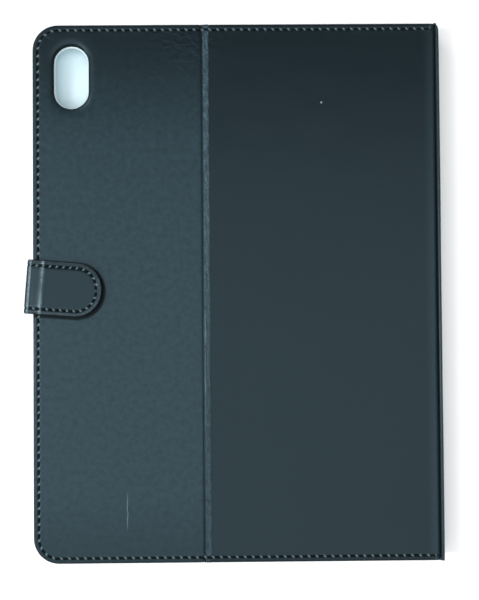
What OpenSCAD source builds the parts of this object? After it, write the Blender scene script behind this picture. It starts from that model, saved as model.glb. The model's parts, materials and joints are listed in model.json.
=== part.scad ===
// Folio case for an eleven-inch tablet, lying closed with its back upwards.
// The front cover rests on z = 0, the spine is on the +X side and the camera end is +Y.
// The back is two leaves on one fold: a panel that carries the tablet tray, and a flap
// that folds out as a stand. A strap from the front cover's free edge snaps on the flap.

/* [Tablet] */
// Length of the tablet, along Y
tablet_l = 247.6; // [200:0.1:300]
// Width of the tablet, along X
tablet_w = 178.5; // [130:0.1:220]
// Thickness of the tablet
tablet_t = 6.1; // [5:0.1:10]
// Corner radius of the tablet in plan
tablet_r = 16.4; // [10:0.1:25]

/* [Tray] */
// Thickness of the tray's side walls
tray_wall = 1.4; // [1:0.1:2.5]
// Thickness of the tray's floor
tray_floor = 1.2; // [0.8:0.1:2]
// Thickness of the lip that holds the tablet in
tray_lip_t = 0.9; // [0.6:0.1:1.5]
// How far the lip reaches in over the screen's edge
tray_lip_reach = 1.2; // [0.6:0.1:2]
// Clearance between the tablet and the walls
tray_clear = 0.2; // [0.1:0.05:0.6]

/* [Leaves] */
// Margin of leather past the tray at the two ends
end_margin = 2.1; // [1:0.1:10]
// Margin of leather past the tray at the free edge
free_margin = 2.8; // [1.5:0.1:10]
// Room between the tray and the spine
spine_gap = 7; // [4:0.1:14]
// Corner radius at the free edge
corner_r = 12; // [8:0.5:20]
// Thickness of the leather
skin_t = 0.8; // [0.6:0.1:1.2]
// Thickness of the stiffening board
board_t = 1.4; // [1:0.1:2.5]
// Thickness of the lining
lining_t = 0.5; // [0.3:0.1:1]
// Where the stand's fold lies, as a share of the case's width
fold_share = 0.424; // [0.35:0.001:0.6]

/* [Camera window] */
// Width of the window, along X
window_w = 16.6; // [12:0.1:20]
// Length of the window, along Y
window_l = 30.2; // [24:0.1:36]
// Window's centre from the tablet's long edge
window_in = 13.8; // [11:0.1:16]
// Window's centre from the tablet's top edge
window_down = 21.1; // [17:0.1:26]

/* [Strap] */
// Width of the strap
strap_w = 25.6; // [16:0.1:32]
// How far the strap reaches in over the back from the free edge
strap_reach = 33.1; // [26:0.1:45]
// How far the strap stands out from the free edge
strap_out = 3.3; // [3:0.1:6]
// Strap's centre above the middle of the case
strap_y = 3.2; // [-20:0.1:20]
// Slant of the tab in plan, in degrees
strap_slant = 4.5; // [0:0.5:8]
// Thickness of one layer of the strap
strap_layer = 0.9; // [0.6:0.1:1.2]
// Diameter of the clasp's magnet and of its keeper
clasp_d = 13; // [8:0.5:14]

/* [Stitching] */
// Distance of the seam from the edge
seam_inset = 2.6; // [2:0.1:4]
// Pitch of the stitches along the leaves
stitch_pitch = 3.75; // [2.5:0.05:6]
// Pitch of the stitches along the strap
strap_pitch = 3.1; // [2.5:0.05:6]
// Length of one stitch as a share of the pitch
stitch_share = 0.68; // [0.4:0.01:0.85]
// Width of the thread
thread_w = 0.6; // [0.3:0.05:0.8]

/* [Hidden] */

$fn = 64;
eps = 0.01;

// Clearance between leaves that move on one another
leaf_gap = 0.3;

// Heights, from the table up
leaf_t = skin_t + board_t + lining_t;
bay_h = tablet_t + 0.1;
tray_h = tray_lip_t + bay_h + tray_floor;
tray_z = leaf_t + leaf_gap;
tray_top = tray_z + tray_h;
back_z = tray_top + leaf_gap;
back_top = back_z + leaf_t;

// Plan sizes
tray_l = tablet_l + 2 * (tray_clear + tray_wall);
tray_w = tablet_w + 2 * (tray_clear + tray_wall);
tray_r = tablet_r + tray_clear + tray_wall;
spine_t = skin_t + 1.2 + lining_t;
case_l = tray_l + 2 * end_margin;
case_w = free_margin + tray_w + spine_gap + spine_t;
half_l = case_l / 2;

// Places along X: the strap's outside and the spine's outside are equally far from zero
spine_x = (case_w + strap_out) / 2;
free_x = spine_x - case_w;
strap_x = free_x - strap_out;
spine_in = spine_x - spine_t;
hinge_end = spine_in - 0.5;
tongue_end = spine_x - 0.1;
fold_x = free_x + fold_share * case_w;
fold_gap = leaf_gap / 2;
fold_web = 1.6;
tray_x = free_x + free_margin + tray_w / 2;

// Camera window
window_x = tray_x - tablet_w / 2 + window_in;
window_y = tablet_l / 2 - window_down;
window_rim = 0.45;

// Edge of the leather that is turned in round a board
turn_in = 2.5;

// Seams
seam_r = corner_r - seam_inset;
seam_depth = 0.25;
seam_w = 1;
seam_end = 1.6;

// Spine: the gaps above and below it are the two flexible joints
joint_gap = 1.1;
spine_board_t = spine_t - skin_t - lining_t;

// Strap
strap_z = skin_t;
tail_t = board_t;
tail_in = 18;
side_x = strap_x + 2 * strap_layer;
side_z = strap_z + tail_t + leaf_gap;
tab_z = back_top + 0.35;
core_t = 1;
tab_skin_z = tab_z + strap_layer;
tab_top = tab_skin_z + core_t + strap_layer;
side_top = tab_z - leaf_gap;
tab_l = strap_reach + strap_out;
tab_r = strap_w / 2;
core_inset = 3.4;
strap_seam_r = tab_r - seam_inset;
clasp_t = 1;
clasp_along = tab_l - tab_r;
clasp_x = strap_x + clasp_along * cos(strap_slant);
clasp_y = strap_y - clasp_along * sin(strap_slant);
keeper_z = back_z + lining_t + (board_t - clasp_t) / 2;

// ---------------------------------------------------------------- plan shapes

// A leaf: round corners at the free edge, square ones at end_x
module leaf_plan(inset, end_x) {
    r = corner_r - inset;
    x0 = free_x + inset;
    y0 = half_l - inset;
    translate([x0 + r, -y0])
        square([end_x - x0 - r, 2 * y0]);
    translate([x0, r - y0])
        square([2 * r, 2 * (y0 - r)]);
    for (side = [-1, 1])
        translate([x0 + r, side * (y0 - r)])
            circle(r);
}

// A rectangle from x0 to x1, inset from the two ends of the case
module strip_plan(x0, x1, inset) {
    translate([x0, inset - half_l])
        square([x1 - x0, case_l - 2 * inset]);
}

// A rectangle with four round corners, centred
module round_plan(l, w, r) {
    square([w - 2 * r, l], center = true);
    square([w, l - 2 * r], center = true);
    for (x = [-1, 1], y = [-1, 1])
        translate([x * (w / 2 - r), y * (l / 2 - r)])
            circle(r);
}

// The camera window: a slot with round ends
module window_plan(grow) {
    translate([window_x, window_y]) {
        square([window_w + 2 * grow, window_l - window_w], center = true);
        for (side = [-1, 1])
            translate([0, side * (window_l - window_w) / 2])
                circle(window_w / 2 + grow);
    }
}

// The strap's tab: slanted, round at its end, cut off along Y at the bend
module tab_plan(inset, from_x) {
    intersection() {
        translate([strap_x, strap_y])
            rotate(-strap_slant) {
                translate([-tab_r, inset - tab_r])
                    square([tab_l, strap_w - 2 * inset]);
                translate([tab_l - tab_r, 0])
                    circle(tab_r - inset);
            }
        translate([from_x, -half_l])
            square([case_w, case_l]);
    }
}

module slab(z0, z1) {
    translate([0, 0, z0])
        linear_extrude(z1 - z0)
            children();
}

// ---------------------------------------------------------------- seams

// Length of a seam round three sides of a leaf that ends at end_x
function seam_straight(end_x) = end_x - free_x - corner_r;
function seam_side() = case_l - 2 * corner_r;
function seam_arc() = PI / 2 * seam_r;
function seam_length(end_x) = 2 * seam_straight(end_x) + 2 * seam_arc() + seam_side();

// Place and direction, [x, y, angle], at a length s along that seam from its +Y end
function seam_point(s, end_x) =
    let (
        straight = seam_straight(end_x),
        arc = seam_arc(),
        side = seam_side(),
        in_y = half_l - seam_inset,
        arc_x = free_x + corner_r,
        arc_y = half_l - corner_r,
        s1 = s - straight,
        s2 = s1 - arc,
        s3 = s2 - side,
        s4 = s3 - arc
    )
    s1 < 0 ? [end_x - s, in_y, 180] :
    s2 < 0 ? seam_corner(arc_x, arc_y, 90 + 90 * s1 / arc) :
    s3 < 0 ? [free_x + seam_inset, arc_y - s2, 270] :
    s4 < 0 ? seam_corner(arc_x, -arc_y, 180 + 90 * s3 / arc) :
    [arc_x + s4, -in_y, 0];

function seam_corner(x, y, a) = [x + seam_r * cos(a), y + seam_r * sin(a), a + 90];

// Place and direction at a length s along the tab's seam, in the tab's own frame
function tab_seam_straight() = tab_l - tab_r - 1;
function tab_seam_length() = 2 * tab_seam_straight() + PI * strap_seam_r;
function tab_seam_point(s) =
    let (
        straight = tab_seam_straight(),
        bend = PI * strap_seam_r,
        a = 90 - 180 * (s - straight) / bend
    )
    s < straight ? [1 + s, strap_seam_r, 0] :
    s < straight + bend ? [clasp_along + strap_seam_r * cos(a), strap_seam_r * sin(a), a - 90] :
    [clasp_along - (s - straight - bend), -strap_seam_r, 180];

module stitch(at, z, pitch) {
    translate([at[0], at[1], z + seam_depth / 2])
        rotate(at[2])
            cube([pitch * stitch_share, thread_w, seam_depth], center = true);
}

// Stitches round three sides of a leaf, their undersides at z
module leaf_stitches(end_x, z) {
    length = seam_length(end_x - seam_end);
    count = floor(length / stitch_pitch);
    for (i = [0 : count - 1])
        stitch(seam_point((i + 0.5) * length / count, end_x - seam_end), z, length / count);
}

module leaf_groove(end_x, z) {
    slab(z, z + seam_depth)
        difference() {
            leaf_plan(seam_inset - seam_w / 2, end_x - seam_end / 2);
            leaf_plan(seam_inset + seam_w / 2, end_x + 1);
        }
}

// ---------------------------------------------------------------- front cover

module front_cover_skin() {
    color("#2f3f45")
    difference() {
        union() {
            slab(0, leaf_t)
                leaf_plan(0, hinge_end);
            slab(0, skin_t)
                strip_plan(hinge_end - 1, tongue_end, 0);
        }
        slab(skin_t, skin_t + board_t)
            leaf_plan(skin_t, hinge_end - skin_t);
        slab(skin_t + board_t - eps, leaf_t + 1)
            leaf_plan(turn_in, hinge_end - turn_in);
        translate([free_x - 1, strap_y - tab_r, strap_z])
            cube([skin_t + 2, strap_w, tail_t]);
        leaf_groove(hinge_end, 0);
    }
}

module tail_block() {
    translate([strap_x + 0.2, strap_y - tab_r, strap_z])
        cube([free_x + tail_in - strap_x - 0.2, strap_w, tail_t]);
}

// Places of the sleep magnets in the cover
function sleep_magnet_place(i) = [free_x + 14, -half_l * 0.55 - 12 * i];

module sleep_magnet_blocks() {
    for (i = [0 : 2])
        translate([sleep_magnet_place(i)[0], sleep_magnet_place(i)[1], skin_t + board_t / 2])
            cube([4, 10, board_t - 0.4], center = true);
}

module front_cover_board() {
    color("#8a7a62")
    difference() {
        slab(skin_t, skin_t + board_t)
            leaf_plan(skin_t, hinge_end - skin_t);
        tail_block();
        sleep_magnet_blocks();
    }
}

module front_cover_lining() {
    color("#cfe6ea")
    slab(skin_t + board_t, leaf_t)
        leaf_plan(turn_in, hinge_end - turn_in);
}

module front_cover_stitching() {
    color("#1c272c")
    leaf_stitches(hinge_end, 0);
}

module sleep_magnets() {
    color("#b9bcc0")
    sleep_magnet_blocks();
}

// ---------------------------------------------------------------- spine

module spine_block(x0, x1, inset) {
    slab(joint_gap + inset, back_top - joint_gap - inset)
        strip_plan(x0, x1, inset);
}

module spine_skin() {
    color("#2f3f45")
    difference() {
        spine_block(spine_in, spine_x, 0);
        spine_block(spine_in + lining_t, spine_x - skin_t, skin_t);
        spine_block(spine_in - 1, spine_in + lining_t + eps, turn_in);
    }
}

module spine_board() {
    color("#8a7a62")
    spine_block(spine_in + lining_t, spine_x - skin_t, skin_t);
}

module spine_lining() {
    color("#cfe6ea")
    spine_block(spine_in, spine_in + lining_t, turn_in);
}

// ---------------------------------------------------------------- back panel and tray

module back_panel_skin() {
    color("#2f3f45")
    difference() {
        union() {
            slab(back_z, back_top)
                strip_plan(fold_x + fold_gap, hinge_end, 0);
            slab(back_top - skin_t, back_top)
                strip_plan(hinge_end - 1, tongue_end, 0);
        }
        slab(back_z + lining_t, back_top - skin_t)
            strip_plan(fold_x + fold_web, hinge_end - skin_t, skin_t);
        slab(back_z - 1, back_z + lining_t + eps)
            strip_plan(fold_x + fold_web + turn_in, hinge_end - turn_in, turn_in);
        for (side = [-1, 1])
            translate([fold_x + fold_web / 2, side * (half_l - seam_inset) - seam_w / 2, back_top - seam_depth])
                cube([hinge_end - fold_x - fold_web, seam_w, 1]);
    }
}

module back_panel_board() {
    color("#8a7a62")
    slab(back_z + lining_t, back_top - skin_t)
        strip_plan(fold_x + fold_web, hinge_end - skin_t, skin_t);
}

module back_panel_lining() {
    color("#cfe6ea")
    slab(back_z, back_z + lining_t)
        strip_plan(fold_x + fold_web + turn_in, hinge_end - turn_in, turn_in);
}

module back_panel_stitching() {
    length = hinge_end - fold_x - 2 * seam_end;
    count = floor(length / stitch_pitch);
    pitch = length / count;
    color("#1c272c")
    for (side = [-1, 1], i = [0 : count - 1])
        stitch(
            [fold_x + seam_end + (i + 0.5) * pitch, side * (half_l - seam_inset), 0],
            back_top - seam_depth,
            pitch
        );
}

module tray_adhesive() {
    x0 = fold_x + fold_web + turn_in + 2;
    x1 = tray_x + tray_w / 2 - 3;
    color("#d9d5c3")
    slab(tray_top, back_z)
        strip_plan(x0, x1, end_margin + tray_r);
}

// Cut-outs in the tray's ends, each as [end, distance from the middle, length]
tray_cutouts = [
    [1, -tablet_w * 0.34, 17],
    [1, -tablet_w * 0.16, 20],
    [1, tablet_w * 0.16, 20],
    [1, tablet_w * 0.34, 26],
    [-1, -tablet_w * 0.25, 24],
    [-1, 0, 14],
    [-1, tablet_w * 0.25, 24],
];
cutout_h = 5;

module tablet_tray() {
    color("#dfeff2")
    difference() {
        slab(tray_z, tray_top)
            translate([tray_x, 0])
                round_plan(tray_l, tray_w, tray_r);
        slab(tray_z + tray_lip_t, tray_top - tray_floor)
            translate([tray_x, 0])
                round_plan(tray_l - 2 * tray_wall, tray_w - 2 * tray_wall, tray_r - tray_wall);
        slab(tray_z - 1, tray_z + tray_lip_t + eps)
            translate([tray_x, 0])
                round_plan(
                    tray_l - 2 * (tray_wall + tray_lip_reach),
                    tray_w - 2 * (tray_wall + tray_lip_reach),
                    tray_r - tray_wall - tray_lip_reach
                );
        slab(tray_top - tray_floor - 1, tray_top + 1)
            window_plan(-window_rim);
        for (cut = tray_cutouts)
            translate([tray_x + cut[1], cut[0] * tray_l / 2, tray_z + cutout_h / 2])
                cube([cut[2], 2 * (tray_wall + tray_lip_reach) + 1, cutout_h + 1], center = true);
    }
}

// ---------------------------------------------------------------- stand flap

module flap_skin() {
    color("#37494f")
    difference() {
        slab(back_z, back_top)
            leaf_plan(0, fold_x - fold_gap);
        difference() {
            union() {
                slab(back_z + lining_t, back_top - skin_t)
                    leaf_plan(skin_t, fold_x - fold_web);
                slab(back_z - 1, back_z + lining_t + eps)
                    leaf_plan(turn_in, fold_x - fold_web - turn_in);
            }
            slab(back_z - 2, back_top)
                window_plan(skin_t);
        }
        slab(back_z - 2, back_top + 1)
            window_plan(0);
        leaf_groove(fold_x - fold_gap, back_top - seam_depth);
    }
}

module flap_board() {
    color("#8a7a62")
    difference() {
        slab(back_z + lining_t, back_top - skin_t)
            difference() {
                leaf_plan(skin_t, fold_x - fold_web);
                window_plan(skin_t);
            }
        keeper_disc();
    }
}

module flap_lining() {
    color("#cfe6ea")
    slab(back_z, back_z + lining_t)
        difference() {
            leaf_plan(turn_in, fold_x - fold_web - turn_in);
            window_plan(skin_t);
        }
}

module flap_stitching() {
    color("#1c272c")
    leaf_stitches(fold_x, back_top - seam_depth);
}

module keeper_disc() {
    translate([clasp_x, clasp_y, keeper_z])
        cylinder(d = clasp_d, h = clasp_t);
}

module clasp_keeper() {
    color("#b9bcc0")
    keeper_disc();
}

// ---------------------------------------------------------------- strap

module strap_tail() {
    color("#2f3f45")
    tail_block();
}

module side_block(x0, x1) {
    translate([x0, strap_y - tab_r, side_z])
        cube([x1 - x0, strap_w, side_top - side_z]);
}

module strap_side_skin() {
    color("#41545c")
    difference() {
        side_block(strap_x, strap_x + strap_layer);
        for (side = [-1, 1])
            translate([strap_x - 1, strap_y + side * strap_seam_r - seam_w / 2, side_z])
                cube([1 + seam_depth, seam_w, side_top - side_z]);
    }
}

module strap_side_lining() {
    color("#37494f")
    side_block(strap_x + strap_layer, side_x);
}

module strap_side_stitching() {
    length = side_top - side_z;
    count = floor(length / strap_pitch);
    pitch = length / count;
    color("#1c272c")
    for (side = [-1, 1], i = [0 : count - 1])
        translate([
            strap_x + seam_depth / 2,
            strap_y + side * strap_seam_r,
            side_z + (i + 0.5) * pitch
        ])
            cube([seam_depth, thread_w, pitch * stitch_share], center = true);
}

module magnet_disc() {
    translate([clasp_x, clasp_y, tab_skin_z])
        cylinder(d = clasp_d, h = clasp_t);
}

module strap_tab_skin() {
    color("#41545c")
    difference() {
        slab(tab_skin_z, tab_top)
            tab_plan(0, strap_x);
        slab(tab_skin_z - 1, tab_skin_z + core_t)
            tab_plan(core_inset, free_x + 2);
        slab(tab_top - seam_depth, tab_top + 1)
            difference() {
                tab_plan(seam_inset - seam_w / 2, strap_x + 0.5);
                tab_plan(seam_inset + seam_w / 2, strap_x - 1);
            }
    }
}

module strap_tab_core() {
    color("#8a7a62")
    difference() {
        slab(tab_skin_z, tab_skin_z + core_t)
            tab_plan(core_inset, free_x + 2);
        magnet_disc();
    }
}

module strap_tab_lining() {
    color("#37494f")
    slab(tab_z, tab_skin_z)
        tab_plan(0, strap_x);
}

module clasp_magnet() {
    color("#b9bcc0")
    magnet_disc();
}

module strap_tab_stitching() {
    length = tab_seam_length();
    count = floor(length / strap_pitch);
    pitch = length / count;
    color("#1c272c")
    translate([strap_x, strap_y])
        rotate(-strap_slant)
            for (i = [0 : count - 1])
                stitch(tab_seam_point((i + 0.5) * pitch), tab_top - seam_depth, pitch);
}

// ---------------------------------------------------------------- selection

front_cover_skin();
front_cover_board();
front_cover_lining();
front_cover_stitching();
sleep_magnets();
strap_tail();
spine_skin();
spine_board();
spine_lining();
back_panel_skin();
back_panel_board();
back_panel_lining();
back_panel_stitching();
tray_adhesive();
tablet_tray();
flap_skin();
flap_board();
flap_lining();
flap_stitching();
clasp_keeper();
strap_side_skin();
strap_side_lining();
strap_side_stitching();
strap_tab_skin();
strap_tab_core();
strap_tab_lining();
clasp_magnet();
strap_tab_stitching();
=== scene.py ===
import json
import math

import bmesh
import bpy
from mathutils import Matrix, Vector, noise


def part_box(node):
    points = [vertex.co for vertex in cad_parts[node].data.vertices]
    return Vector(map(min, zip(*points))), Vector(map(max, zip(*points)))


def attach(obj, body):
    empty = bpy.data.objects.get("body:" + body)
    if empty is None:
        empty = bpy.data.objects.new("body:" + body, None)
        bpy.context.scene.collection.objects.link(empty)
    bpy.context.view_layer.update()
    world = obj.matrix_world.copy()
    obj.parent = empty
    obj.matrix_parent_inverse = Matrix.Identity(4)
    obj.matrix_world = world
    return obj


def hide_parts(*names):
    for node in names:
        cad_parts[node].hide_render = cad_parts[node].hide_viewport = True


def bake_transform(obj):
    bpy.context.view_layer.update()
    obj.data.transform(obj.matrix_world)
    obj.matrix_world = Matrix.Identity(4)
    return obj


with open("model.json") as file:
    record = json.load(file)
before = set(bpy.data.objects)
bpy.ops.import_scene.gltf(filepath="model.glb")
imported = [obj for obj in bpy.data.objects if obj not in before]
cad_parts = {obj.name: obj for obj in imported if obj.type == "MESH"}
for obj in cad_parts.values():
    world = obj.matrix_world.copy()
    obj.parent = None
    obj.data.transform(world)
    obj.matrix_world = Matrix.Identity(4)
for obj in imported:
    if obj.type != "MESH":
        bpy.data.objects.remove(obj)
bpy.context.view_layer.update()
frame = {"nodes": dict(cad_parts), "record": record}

mm = 0.001

# ------------------------------------------------------------------ table, camera and lights
# A pale table top that the closed case lies on, a camera nearly straight above it, and soft
# light: a key light past the upper left corner, a narrow strip at the left and a broad panel
# overhead.

table_size = 6
bpy.ops.object.select_all(action="DESELECT")
bpy.ops.mesh.primitive_plane_add(size=table_size, location=(0, 0, -0.05 * mm))
table = bpy.context.object
table.name = "table_top"
table_paint = bpy.data.materials.new("white_table")
table_paint.use_nodes = True
table_shader = table_paint.node_tree.nodes["Principled BSDF"]
table_shader.inputs["Base Color"].default_value = (0.93, 0.93, 0.935, 1)
table_shader.inputs["Roughness"].default_value = 0.7
table_shader.inputs["Specular IOR Level"].default_value = 0.2
table.data.materials.append(table_paint)

camera_data = bpy.data.cameras.new("camera")
camera = bpy.data.objects.new("camera", camera_data)
bpy.context.scene.collection.objects.link(camera)
camera_data.sensor_width = 36
camera_data.lens = 51
camera.location = (-0.8 * mm, -12.0 * mm, 416.2 * mm)
camera.rotation_euler = (math.radians(1.146), math.radians(-0.429), math.radians(-0.444))
bpy.context.scene.camera = camera
bpy.context.scene.view_settings.view_transform = "Standard"


def area_light(name, place, aim, width, length, power, tint=(1, 1, 1)):
    """A rectangular soft light at place that points at aim."""
    data = bpy.data.lights.new(name, "AREA")
    data.shape = "RECTANGLE"
    data.size, data.size_y = width, length
    data.energy = power
    data.color = tint
    light = bpy.data.objects.new(name, data)
    light.location = place
    light.rotation_mode = "QUATERNION"
    light.rotation_quaternion = (Vector(aim) - Vector(place)).to_track_quat("-Z", "Y")
    bpy.context.scene.collection.objects.link(light)


area_light("key_light", (-1.0, 0.95, 1.3), (0, 0, 0), 0.5, 0.5, 5)
area_light("left_strip_light", (-1.1, -0.1, 1.0), (0, 0, 0), 0.12, 0.9, 11)
area_light("overhead_light", (-0.05, -0.42, 1.6), (-0.05, -0.42, 0), 2.1, 1.75, 25)

# The room: dim overhead, brighter low down, most of all on the left and at the near end
sky = bpy.data.worlds.new("studio")
sky.use_nodes = True
sky_nodes = sky.node_tree.nodes
direction = sky_nodes.new("ShaderNodeTexCoord")
towards = sky_nodes.new("ShaderNodeVectorMath")
towards.operation = "DOT_PRODUCT"
towards.inputs[1].default_value = (-0.12, -0.15, -0.6)
level = sky_nodes.new("ShaderNodeMath")
level.inputs[1].default_value = 0.85
sky.node_tree.links.new(direction.outputs["Generated"], towards.inputs[0])
sky.node_tree.links.new(towards.outputs["Value"], level.inputs[0])
sky.node_tree.links.new(level.outputs[0], sky_nodes["Background"].inputs["Strength"])
sky_nodes["Background"].inputs["Color"].default_value = (0.93, 0.98, 1, 1)
bpy.context.scene.world = sky


# ------------------------------------------------------------------ front cover
# The cover is a fibre board wrapped in thin synthetic leather, turned in round three edges
# and stitched through, with a lining glued over the turned-in edge. It lies face down.

cover_low, cover_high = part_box("front_cover_skin")
spine_low, spine_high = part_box("spine_skin")
flap_low, flap_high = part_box("flap_skin")
panel_low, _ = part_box("back_panel_skin")
free_x = cover_low[0]
half_l = cover_high[1]
spine_x = spine_high[0]
leaf_t = cover_high[2]
back_top = flap_high[2]
back_z = flap_low[2]
fold_x = (flap_high[0] + panel_low[0]) / 2
corner_r = 12 * mm
corner_steps = 18
groove_x = spine_x - 2.25 * mm
seam_in = 2.6 * mm
seam_r = corner_r - seam_in
stitch_pitch = 3.75 * mm
pucker_height = 0.36 * mm
leather_t = 0.5 * mm
seam_end_x = groove_x - 2.2 * mm
same_place = 0.001 * mm

# The leather's material takes this many millimetres from the seam as no seam at all
far_from_seam = 5

# How the leather rounds over the board's edge and dips at the seam: (inwards, upwards)
edge_drop = 0.9 * mm
edge_steps = [
    (0.22 * mm, 0.45 * mm),
    (0.35 * mm, 0.30 * mm),
    (0.60 * mm, 0.14 * mm),
    (0.60 * mm, 0.05 * mm),
    (0.30 * mm, -0.08 * mm),
    (0.23 * mm, -0.24 * mm),
    (0.30 * mm, -0.10 * mm),
    (0.30 * mm, 0.10 * mm),
    (0.23 * mm, 0.24 * mm),
    (0.35 * mm, 0.08 * mm),
    (0.80 * mm, 0.01 * mm),
]

# How its rim turns down round the board and in under it: (downwards, inwards)
down_moves = [
    (0.35 * mm, 0),
    (0.85 * mm, 0.05 * mm),
    (0.35 * mm, 0.15 * mm),
    (0.20 * mm, 0.45 * mm),
    (0.05 * mm, 1.9 * mm),
]

# How it falls into the groove beside the spine: (distance before the groove, drop)
groove_profile = [
    (6.0 * mm, 0.0),
    (2.4 * mm, 0.0),
    (1.6 * mm, 0.03 * mm),
    (1.0 * mm, 0.16 * mm),
    (0.55 * mm, 0.42 * mm),
    (0.22 * mm, 0.80 * mm),
    (0.0, 1.05 * mm),
]


def within_one(value):
    return max(0.0, min(1.0, value))


def hump(distance, reach):
    """1 at no distance, falling evenly to 0 at the reach."""
    return max(0.0, 1 - abs(distance) / reach)


def pick(test, kind="VERT"):
    """Selects, in edit mode, only the vertices or faces whose centre passes the test."""
    bpy.ops.mesh.select_mode(type=kind)
    bpy.ops.mesh.select_all(action="DESELECT")
    mesh = bmesh.from_edit_mesh(bpy.context.object.data)
    if kind == "VERT":
        for v in mesh.verts:
            v.select_set(bool(test(v.co)))
    else:
        for f in mesh.faces:
            f.select_set(bool(test(f.calc_center_median())))
    mesh.select_flush_mode()
    bmesh.update_edit_mesh(bpy.context.object.data)


def pick_edges(test):
    """Selects, in edit mode, only the edges that pass the test."""
    bpy.ops.mesh.select_mode(type="EDGE")
    bpy.ops.mesh.select_all(action="DESELECT")
    mesh = bmesh.from_edit_mesh(bpy.context.object.data)
    for e in mesh.edges:
        if test(e):
            e.select_set(True)
    bmesh.update_edit_mesh(bpy.context.object.data)


def saw(place, direction, clear_outer=False, clear_inner=False):
    """Cuts the whole mesh through in edit mode, and can clear one side."""
    bpy.ops.mesh.select_all(action="SELECT")
    bpy.ops.mesh.bisect(
        plane_co=place,
        plane_no=direction,
        clear_outer=clear_outer,
        clear_inner=clear_inner,
        threshold=same_place,
    )


def steps_between(low, high, gap):
    count = max(1, round((high - low) / gap))
    return [low + (high - low) * i / count for i in range(1, count)]


def apply_modifiers(piece):
    bpy.ops.object.select_all(action="DESELECT")
    piece.select_set(True)
    bpy.context.view_layer.objects.active = piece
    for modifier in list(piece.modifiers):
        bpy.ops.object.modifier_apply(modifier=modifier.name)


def thicken(piece, thickness):
    """Gives the leather its thickness, inwards, and smooths its shading."""
    shell = piece.modifiers.new("thickness", "SOLIDIFY")
    shell.thickness = thickness
    shell.offset = -1
    shell.use_even_offset = False
    apply_modifiers(piece)
    for v in piece.data.vertices:
        v.co.y = max(-half_l, min(half_l, v.co.y))
    bpy.ops.object.shade_smooth_by_angle(angle=math.radians(50))


def start_outline(name, low_x, high_x, half_width, y, level, radius, corner, cuts, steps, round_low):
    """A flat sheet in edit mode: two round corners at one end, fine edges, and inset rings."""
    bpy.ops.object.select_all(action="DESELECT")
    bpy.ops.mesh.primitive_plane_add(size=1, location=((low_x + high_x) / 2, y, level))
    sheet = bpy.context.object
    sheet.name = sheet.data.name = name
    sheet.scale = (high_x - low_x, 2 * half_width, 1)
    bpy.ops.object.transform_apply(location=True, rotation=True, scale=True)
    bpy.ops.object.mode_set(mode="EDIT")
    middle = (low_x + high_x) / 2
    pick(lambda p: (p.x < middle) == round_low)
    bpy.ops.mesh.bevel(
        offset=radius, offset_type="OFFSET", segments=corner, affect="VERTICES", profile=0.5
    )
    bpy.ops.mesh.select_mode(type="FACE")
    bpy.ops.mesh.select_all(action="SELECT")
    bpy.ops.mesh.delete(type="ONLY_FACE")
    blunt_x = high_x if round_low else low_x
    for cut in cuts:
        pick_edges(
            lambda e: e.calc_length() > radius * 0.11
            and all(abs(v.co.x - blunt_x) > same_place for v in e.verts)
        )
        bpy.ops.mesh.subdivide(number_cuts=cut)
    bpy.ops.mesh.select_mode(type="VERT")
    bpy.ops.mesh.select_all(action="SELECT")
    bpy.ops.mesh.edge_face_add()
    bpy.ops.mesh.select_mode(type="FACE")
    bpy.ops.mesh.select_all(action="SELECT")
    bpy.ops.mesh.normals_make_consistent(inside=False)
    mesh = bmesh.from_edit_mesh(sheet.data)
    if next(iter(mesh.faces)).normal.z < 0:
        bpy.ops.mesh.flip_normals()
    for inwards, upwards in steps:
        bpy.ops.mesh.inset(thickness=inwards, depth=upwards, use_even_offset=True, use_boundary=True)
    return sheet


def turn_down(blunt_x, centre_y, width, half_width, moves):
    """Extrudes the rim, except at the blunt end, through moves of (downwards, inwards)."""
    pick_edges(
        lambda e: e.is_boundary and any(abs(v.co.x - blunt_x) > same_place for v in e.verts)
    )
    for down, inwards in moves:
        bpy.ops.mesh.extrude_edges_move(TRANSFORM_OT_translate={"value": (0, 0, -down)})
        if inwards:
            bpy.ops.transform.resize(
                value=(1 - inwards / width, 1 - inwards / half_width, 1),
                center_override=(blunt_x, centre_y, 0),
            )


def seam_lengths(end_x):
    return end_x - free_x - corner_r, math.pi / 2 * seam_r, 2 * (half_l - corner_r)


def seam_place(s, end_x):
    """The point and direction at a length s along a leaf's seam, from its +Y end."""
    straight, arc, side = seam_lengths(end_x)
    centre_x, centre_y = free_x + corner_r, half_l - corner_r
    if s < straight:
        return end_x - s, half_l - seam_in, math.pi
    s -= straight
    if s < arc:
        a = math.pi / 2 * (1 + s / arc)
        return centre_x + seam_r * math.cos(a), centre_y + seam_r * math.sin(a), a + math.pi / 2
    s -= arc
    if s < side:
        return free_x + seam_in, centre_y - s, 1.5 * math.pi
    s -= side
    if s < arc:
        a = math.pi * (1 + s / arc / 2)
        return centre_x + seam_r * math.cos(a), -centre_y + seam_r * math.sin(a), a + math.pi / 2
    return centre_x + s - arc, seam_in - half_l, 0


def seam_measure(x, y, end_x):
    """The length along the seam at the point nearest to x, y, and the distance in from the edge."""
    straight, arc, side = seam_lengths(end_x)
    dx, dy = x - free_x - corner_r, abs(y) - (half_l - corner_r)
    if dx < 0 and dy > 0:
        turn = math.atan2(-dx, dy) / (math.pi / 2) * arc
        inwards = corner_r - math.hypot(dx, dy)
    elif dx >= 0 and -dy + corner_r < x - free_x or dy > 0:
        turn = -dx
        inwards = half_l - abs(y)
    else:
        turn = arc - dy
        inwards = x - free_x
    along = straight + turn
    whole = 2 * straight + 2 * arc + side
    return (along if y >= 0 else whole - along), inwards


def seam_count(end_x):
    straight, arc, side = seam_lengths(end_x)
    whole = 2 * straight + 2 * arc + side
    return whole, math.floor(whole / stitch_pitch)


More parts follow.
